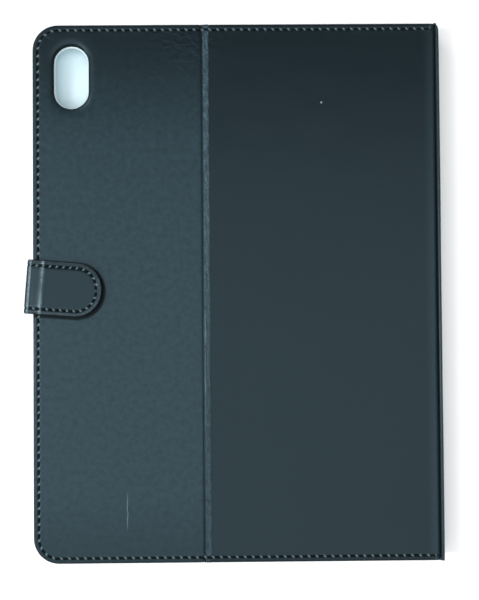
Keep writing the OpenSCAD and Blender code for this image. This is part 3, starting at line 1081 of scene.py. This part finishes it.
spine_in = spine_low[0]
inner_corner = [
    (spine_in - 7.5 * mm, leaf_t + 0.14 * mm),
    (spine_in - 2.6 * mm, leaf_t + 0.14 * mm),
    (spine_in - 1.5 * mm, leaf_t + 0.17 * mm),
    (spine_in - 0.9 * mm, leaf_t + 0.35 * mm),
    (spine_in - 0.5 * mm, leaf_t + 0.7 * mm),
    (spine_in - 0.2 * mm, leaf_t + 1.3 * mm),
    (spine_in - 0.1 * mm, leaf_t + 2.2 * mm),
    (spine_in - 0.1 * mm, spine_mid),
]
lining_strip(
    "spine_lining_lower", inner_corner, "front_cover", "spine",
    (spine_in - 1.8 * mm, 0, leaf_t), (spine_in, 0, leaf_t + 1.6 * mm),
    ["front_cover_lining", "spine_board"], "spine_lining",
)
lining_strip(
    "spine_lining_upper", [(x, back_top - z) for x, z in inner_corner], "back_panel", "spine",
    (spine_in - 1.8 * mm, 0, back_top - leaf_t), (spine_in, 0, back_top - leaf_t - 1.6 * mm),
    ["back_panel_lining", "spine_board"],
)
fold_inside = [fold_x + step * 1.05 * mm for step in range(-5, 6)]
lining_strip(
    "fold_lining", [(x, back_z + 0.2 * mm) for x in fold_inside], "stand_flap", "back_panel",
    fold_start, fold_end, ["flap_lining", "back_panel_lining"],
)


# ------------------------------------------------------------------ boards, magnets, adhesive
# Grey-brown pressed fibre boards stiffen the leaves, the spine and the strap's tab. Nickel
# magnets lie in pockets in them, and an adhesive sheet holds the tray to the back panel.

board_finish, tree, shader, place = new_finish("fibre_board")
fibres = speckle(tree, place, 1.2, 8.0, 0.75)
plug(tree, shader, {
    "Base Color": blended(tree, fibres, (0.16, 0.12, 0.08, 1), (0.42, 0.35, 0.26, 1)),
    "Normal": relief(tree, fibres, 0.4, 0.1 * mm),
    "Roughness": 0.9,
})
refinish(board_finish, "front_cover_board", "spine_board", "back_panel_board")
refinish(board_finish, "flap_board", "strap_tab_core")

nickel_finish, tree, shader, place = new_finish("nickel_plate")
brushing = speckle(tree, place, 2.0, 4.0)
plug(tree, shader, {
    "Base Color": blended(tree, brushing, (0.48, 0.47, 0.45, 1), (0.66, 0.65, 0.62, 1)),
    "Roughness": graded(tree, brushing, 0.0, 1.0, 0.22, 0.4),
    "Metallic": 1,
})
refinish(nickel_finish, "sleep_magnets", "clasp_keeper", "clasp_magnet")

adhesive_finish, tree, shader, place = new_finish("adhesive_sheet")
tack = speckle(tree, place, 0.6, 5.0)
plug(tree, shader, {
    "Base Color": blended(tree, tack, (0.62, 0.58, 0.46, 1), (0.78, 0.74, 0.62, 1)),
    "Roughness": 0.5,
})
refinish(adhesive_finish, "tray_adhesive")


# ------------------------------------------------------------------ tablet tray
# A moulded tray of frosted pale plastic, one piece with its lip, cut-outs and camera hole.
# It is glued to the back panel only, so the flap can fold away from it.

tray_finish, tree, shader, place = new_finish("frosted_plastic")
frost = speckle(tree, place, 4.0, 3.0, 0.6)
flow = speckle(tree, place, 0.03, 2.0)
plug(tree, shader, {
    "Base Color": blended(tree, flow, (0.66, 0.82, 0.87, 1), (0.80, 0.93, 0.97, 1)),
    "Normal": relief(tree, frost, 0.15, 0.05 * mm),
    "Roughness": graded(tree, frost, 0.0, 1.0, 0.3, 0.48),
})
refinish(tray_finish, "tablet_tray")


# ------------------------------------------------------------------ strap
# Two layers of leather sewn together round a board core, with a magnet in the round tab. The
# strap comes out of the front cover's edge, bends up, and bends again over the back's edge.

side_low, side_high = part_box("strap_side_skin")
tab_low, tab_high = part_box("strap_tab_skin")
tab_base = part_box("strap_tab_lining")[0][2]
strap_x = side_low[0]
strap_y = (side_low[1] + side_high[1]) / 2
strap_half = (side_high[1] - side_low[1]) / 2
tab_top = tab_high[2]
tab_length = 36.4 * mm
tab_round = 12.3 * mm
strap_slant = math.radians(4.5)
strap_cut_z = 8 * mm
bend_inner = 0.6 * mm
bend_t = 2.1 * mm
bend_x = strap_x + bend_inner + bend_t
strap_seam_in = 2.6 * mm
strap_edge_steps = [
    (0.25 * mm, 0.38 * mm),
    (0.40 * mm, 0.26 * mm),
    (0.60 * mm, 0.12 * mm),
    (0.50 * mm, 0.04 * mm),
    (0.30 * mm, -0.10 * mm),
    (0.25 * mm, -0.24 * mm),
    (0.30 * mm, -0.08 * mm),
    (0.30 * mm, 0.08 * mm),
    (0.25 * mm, 0.24 * mm),
    (0.35 * mm, 0.12 * mm),
    (0.90 * mm, 0.02 * mm),
]
strap_edge_drop = 0.8 * mm

strap_dark = (0.002, 0.005, 0.0065, 1)
strap_pale = (0.006, 0.012, 0.015, 1)
# Pale for the rim's wear and for the painted highlights on the bend and the crest
strap_rubbed_and_lit = (0.22, 0.29, 0.32, 1)
strap_leather_finish = synthetic_leather(
    "strap_leather", strap_dark, strap_pale, strap_rubbed_and_lit, 0.25, 0.27
)

strap = start_outline(
    "strap", strap_x - 8 * mm, strap_x + tab_length, strap_half, strap_y, tab_top - strap_edge_drop,
    tab_round, 20, (5, 5), strap_edge_steps, False,
)
saw((bend_x, 0, 0), (1, 0, 0), clear_inner=True)
near_bend = steps_between(bend_x, bend_x + 9 * mm, 0.6 * mm)
over_tab = steps_between(bend_x + 9 * mm, strap_x + tab_length, 1.6 * mm)
for x in near_bend + over_tab:
    saw((x, 0, 0), (1, 0, 0))
for y in steps_between(strap_y - strap_half + 4.6 * mm, strap_y + strap_half - 4.6 * mm, 1.3 * mm):
    saw((0, y, 0), (0, 1, 0))
turn_down(
    bend_x, strap_y, strap_x + tab_length - bend_x, strap_half,
    [(0.35 * mm, 0.02 * mm), (0.12 * mm, 0.14 * mm), (0.12 * mm, -0.14 * mm), (0.9 * mm, 0.02 * mm),
     (0.35 * mm, 0.15 * mm), (0.16 * mm, 0.35 * mm)],
)
bpy.ops.mesh.select_mode(type="VERT")
bpy.ops.mesh.edge_face_add()
bpy.ops.object.mode_set(mode="OBJECT")


def strap_fall(along):
    """How much the strap's top lies below the tab's at a length past the bend."""
    rise = max(0.0, min(1.0, along / (5.2 * mm)))
    rise = rise * rise * (3 - 2 * rise)
    crest = 0.30 * mm * math.exp(-((along - 5.6 * mm) / (0.9 * mm)) ** 2)
    return (tab_top - tab_base - bend_t) * (1 - rise) - crest


for v in strap.data.vertices:
    above = v.co.z - tab_base - 0.9 * mm
    if above > 0:
        v.co.z -= strap_fall(v.co.x - bend_x) * above / (tab_top - tab_base - 0.9 * mm)
bpy.ops.object.mode_set(mode="EDIT")
pick_edges(lambda e: e.is_boundary)
bpy.ops.mesh.spin(
    steps=9, angle=math.pi / 2, center=(bend_x, strap_y, tab_base - bend_inner), axis=(0, 1, 0)
)
side_top = tab_base - bend_inner
side_steps = 5
for step in range(side_steps):
    fall = (side_top - strap_cut_z) / side_steps
    bpy.ops.mesh.extrude_edges_move(TRANSFORM_OT_translate={"value": (0, 0, -fall)})
pick_edges(lambda e: e.is_boundary)
bpy.ops.mesh.edge_face_add()
bpy.ops.object.mode_set(mode="OBJECT")

# The lower half goes on from the cut, thins, and bends into the slot in the cover's edge
tail_low, tail_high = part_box("strap_tail")
tail_t = tail_high[2] - tail_low[2]
lower_r = 0.7 * mm
bpy.ops.object.select_all(action="DESELECT")
strap.select_set(True)
bpy.context.view_layer.objects.active = strap
bpy.ops.object.duplicate()
strap_root = bpy.context.object
strap_root.name = strap_root.data.name = "strap_root"
bpy.ops.object.mode_set(mode="EDIT")
pick(lambda p: p.z > strap_cut_z + 0.01 * mm)
bpy.ops.mesh.delete(type="VERT")
bpy.ops.mesh.select_mode(type="FACE")
bpy.ops.mesh.select_all(action="SELECT")
bpy.ops.mesh.delete(type="ONLY_FACE")
bpy.ops.mesh.select_mode(type="VERT")
bpy.ops.mesh.select_all(action="SELECT")
bpy.ops.mesh.edge_face_add()
pick_edges(lambda e: True)
fall = (strap_cut_z - tail_high[2] - lower_r) / side_steps
thinning = (tail_t / bend_t) ** (1 / side_steps)
for step in range(side_steps):
    bpy.ops.mesh.extrude_edges_move(TRANSFORM_OT_translate={"value": (0, 0, -fall)})
    bpy.ops.transform.resize(value=(thinning, 1, 1), center_override=(strap_x, strap_y, 0))
bpy.ops.mesh.spin(
    steps=8,
    angle=math.pi / 2,
    center=(strap_x + tail_t + lower_r, strap_y, tail_high[2] + lower_r),
    axis=(0, 1, 0),
)
for step in range(3):
    reach = (tail_high[0] - strap_x - tail_t - lower_r) / 3
    bpy.ops.mesh.extrude_edges_move(TRANSFORM_OT_translate={"value": (reach, 0, 0)})
bpy.ops.mesh.edge_face_add()
bpy.ops.object.mode_set(mode="OBJECT")


def slant(piece):
    """Turns the strap a little in its plane, less and less down the side."""
    for v in piece.data.vertices:
        share = max(0.0, min(1.0, (v.co.z - 3.5 * mm) / (9 * mm)))
        turn = -strap_slant * share * share * (3 - 2 * share)
        away = Vector((v.co.x - strap_x, v.co.y - strap_y))
        away.rotate(Matrix.Rotation(turn, 2))
        v.co.x, v.co.y = strap_x + away.x, strap_y + away.y


# Where the strap's stitches run, measured up the side, over the bend and round the tab
strap_pitch = 3.1 * mm
strap_line = strap_half - strap_seam_in
bend_outer = bend_inner + bend_t
bend_arc = bend_outer * math.pi / 2
round_start = strap_x + tab_length - tab_round - bend_x
round_r = tab_round - strap_seam_in
straight = round_start + bend_arc + side_top - strap_cut_z
half_round = math.pi / 2 * round_r + strap_line - round_r
tab_stitches = math.floor((straight + half_round) / strap_pitch)


def strap_seam_measure(p):
    """The length along the strap's seam at a point before it is slanted, in stitches."""
    along = p.x - bend_x
    if along > round_start:
        middle = strap_y + math.copysign(strap_half - tab_round, p.y - strap_y)
        s = straight + round_r * math.atan2(along - round_start, abs(p.y - middle))
    elif along >= 0:
        s = straight - round_start + along
    elif p.z > side_top:
        s = straight - round_start - bend_outer * math.atan2(-along, p.z - side_top)
    else:
        s = p.z - strap_cut_z
    return s * tab_stitches / (straight + half_round)


# The strap's walls take the edge paint; the steep outside of its bend takes the same finish as
# painted shade
def on_strap_wall_or_bend_side(p, n):
    return n.z < 0.68


# Both pieces of the strap: merged at their doubled points, marked, slanted and given their finishes
for piece in (strap, strap_root):
    bpy.ops.object.select_all(action="DESELECT")
    piece.select_set(True)
    bpy.context.view_layer.objects.active = piece
    bpy.ops.object.mode_set(mode="EDIT")
    bpy.ops.mesh.select_all(action="SELECT")
    bpy.ops.mesh.remove_doubles(threshold=0.01 * mm)
    bpy.ops.mesh.normals_make_consistent(inside=False)
    bpy.ops.object.mode_set(mode="OBJECT")
    rub_and_highlight, shade, stitch, off_seam = [], [], [], []
    for v in piece.data.vertices:
        beside = abs(v.co.y - strap_y)
        across = strap_half - beside
        past_end = v.co.x - (strap_x + tab_length - tab_round)
        if past_end > 0:
            out = max(0.0, beside - strap_half + tab_round)
            across = tab_round - math.hypot(past_end, out)
        along = v.co.x - bend_x
        bent = 0
        if v.co.z > side_top and along < 0:
            bent = bend_outer * math.atan2(-along, v.co.z - side_top)
        upper = v.co.z > tab_top - strap_fall(max(0.0, along)) - strap_edge_drop - 0.15 * mm
        stitch.append(strap_seam_measure(v.co))
        off_seam.append((across - strap_seam_in) / mm if piece is strap else far_from_seam)

        # Rubbed paler at the rim; rubbed paler with a painted highlight on the bend and on the crest
        # where the tab rises over its core
        rim = hump(across - 0.8 * mm, 0.8 * mm) * 0.22
        on_bend = hump(bent - 0.8 * mm, 1.2 * mm) if along < 0 else 0
        crest = math.exp(-(((along - 5.3 * mm) / (0.7 * mm)) ** 2))
        crest *= 0.35 + 0.65 * beside / strap_half
        rub_and_highlight.append(max(rim, 0.95 * on_bend, crest) if upper else 0)

        # Dark: painted shade along the seam, in the dip before the crest and down the bend's side;
        # edge paint on the walls
        near = hump(across - strap_seam_in, 0.75 * mm)
        hollow_shade = 0.5 * math.exp(-(((along - 2.4 * mm) / (1.6 * mm)) ** 2))
        wall = 1 if along > 0 and (across < 0.15 * mm or not upper) else 0
        down_side = within_one((bent - 1.6 * mm) / (0.5 * mm)) if v.co.z > side_top else 1
        shade.append(max(near * 0.3, hollow_shade, wall, down_side if along < 0 else 0))
        if v.co.z > tab_base + 1.4 * mm and across > 3.2 * mm:
            v.co.z += 0.07 * mm * noise.noise(Vector((v.co.x * 120, v.co.y * 120, 4)))
    leaf_marks(piece, {"rub_and_highlight": rub_and_highlight, "shade": shade, "stitch": stitch, "off_seam": off_seam})
    slant(piece)
    bpy.ops.object.shade_smooth_by_angle(angle=math.radians(50))
    piece.data.materials.append(strap_leather_finish)
    darken_edges(piece, on_strap_wall_or_bend_side)
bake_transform(strap)
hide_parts("strap_tab_skin", "strap_tab_lining", "strap_side_skin", "strap_side_lining")
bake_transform(strap_root)
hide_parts("strap_tail")


# Painted shadow of the tab: the flap's leather is darker round the tab's end and along its lower
# edge
tab_gap = []
for v in back_leather.data.vertices:
    from_root = Vector((v.co.x - strap_x - 0.5 * mm, v.co.y - strap_y + 0.8 * mm))
    from_root.rotate(Matrix.Rotation(strap_slant, 2))
    past_end = from_root.x - tab_length + tab_round
    if past_end > 0:
        gap = math.hypot(past_end, max(0.0, abs(from_root.y) - strap_half + tab_round)) - tab_round
    else:
        gap = abs(from_root.y) - strap_half
    tab_gap.append(max(-9.0, min(9.0, gap / mm)))
leaf_marks(back_leather, {"tab_gap": tab_gap})


# ------------------------------------------------------------------ stitching of the strap
# The strap's two layers are sewn together along both sides and round the end of the tab, in
# the same thread as the leaves and with shorter stitches.


def strap_surface(along):
    """Place and tilt of the strap's outside, at a length before or past the top of its bend."""
    if along >= 0:
        slope = (strap_fall(along) - strap_fall(along + 0.2 * mm)) / (0.2 * mm)
        return bend_x + along, tab_top - strap_fall(along), -math.atan(slope)
    if along > -bend_arc:
        a = -along / bend_outer
        return bend_x - bend_outer * math.sin(a), side_top + bend_outer * math.cos(a), -a
    return strap_x, side_top + along + bend_arc, -math.pi / 2


def strap_stitch_place(along, y, turn=0.0):
    x, z, tilt = strap_surface(along)
    sunk = Matrix.Translation((0, 0, -stitch_sink - 0.06 * mm))
    spin = Matrix.Rotation(turn + stitch_slant * 1.6, 4, "Z")
    return Matrix.Translation((x, y, z)) @ Matrix.Rotation(tilt, 4, "Y") @ sunk @ spin


places = []
for i in range(tab_stitches):
    s = (i + 0.5) * (straight + half_round) / tab_stitches
    a = min(math.pi / 2, max(0.0, s - straight) / round_r)
    along = round_start + min(0.0, s - straight) + round_r * math.sin(a)
    out = strap_line - round_r + round_r * math.cos(a)
    for side, turned in ((-1, math.pi + a), (1, -a)):
        places.append(strap_stitch_place(along, strap_y + side * out, turned))
tab_row = sew("strap_stitches", places, strap_pitch * stitch_share)
slant(tab_row)
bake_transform(tab_row)
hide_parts("strap_tab_stitching", "strap_side_stitching")

root_start = round_start - straight
places = []
for i in range(2):
    down = root_start - (i + 0.5) * strap_pitch * 0.85
    for side in (-1, 1):
        places.append(strap_stitch_place(down, strap_y + side * strap_line))
root_row = sew("strap_root_stitches", places, strap_pitch * stitch_share)
slant(root_row)
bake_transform(root_row)
